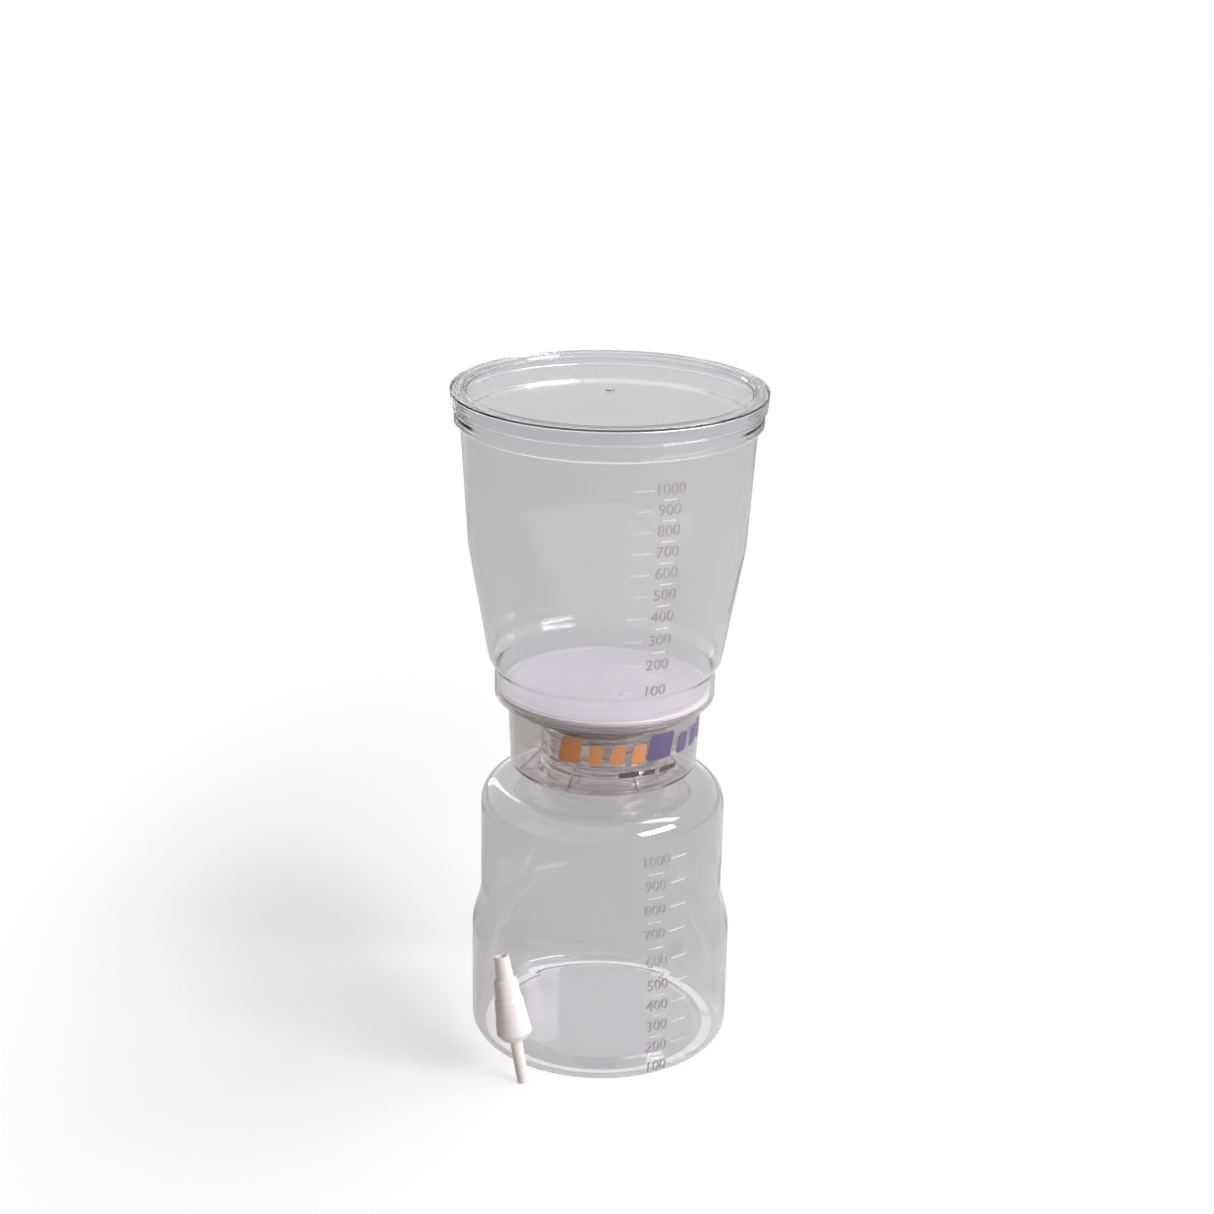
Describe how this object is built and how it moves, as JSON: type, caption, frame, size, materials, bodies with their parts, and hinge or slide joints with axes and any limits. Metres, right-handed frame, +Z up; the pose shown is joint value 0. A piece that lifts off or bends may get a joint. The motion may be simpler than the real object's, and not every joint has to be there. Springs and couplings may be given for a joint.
{
  "type": "vacuum filtration unit",
  "caption": "Clear graduated funnel and membrane disc on a drum-shaped filter base with a side vacuum port, screwed on a receiver bottle, with a lid and a loose stepped hose adapter.",
  "frame": {"origin": "on the resting plane, under the middle of the receiver bottle, which is the bottom centre of the whole unit", "axes": "+Z up along the axis of bottle, funnel and lid; -Y is the front, with the graduations to its right; the vacuum port points back, along +Y"},
  "size_m": [0.1342, 0.1342, 0.2991],
  "materials": {
    "clear_plastic": "clear moulded polystyrene",
    "white_plastic": "satin moulded polypropylene",
    "white_plate": "satin moulded plastic",
    "membrane": "matt filter membrane",
    "gasket": "matt silicone",
    "orange_print": "thin printed ink",
    "purple_print": "thin printed ink",
    "grey_print": "thin printed ink"
  },
  "bodies": {
    "bottle": {"receiver_bottle": "clear_plastic", "hose_adapter": "white_plastic"},
    "gasket": {"neck_gasket": "gasket"},
    "filter_top": {"filter_base": "clear_plastic", "drain_cone": "clear_plastic", "support_plate": "white_plate", "membrane": "membrane", "funnel": "clear_plastic"},
    "lid": {"lid": "clear_plastic"}
  },
  "joints": [
    {"name": "filter_top_lift", "type": "slide", "parent": "bottle", "child": "gasket", "axis": [0, 0, 1], "range_m": [0, 0.008]},
    {"name": "filter_top_turn", "type": "hinge", "parent": "gasket", "child": "filter_top", "pos_m": [0, 0, 0.146], "axis": [0, 0, 1], "range_deg": [0, 720]},
    {"name": "lid_lift", "type": "slide", "parent": "filter_top", "child": "lid", "axis": [0, 0, 1], "range_m": [0, 0.03]}
  ],
  "couplings": [
    {"joint": "filter_top_lift", "follows": "filter_top_turn", "m_per_rad": 0.0006366}
  ]
}
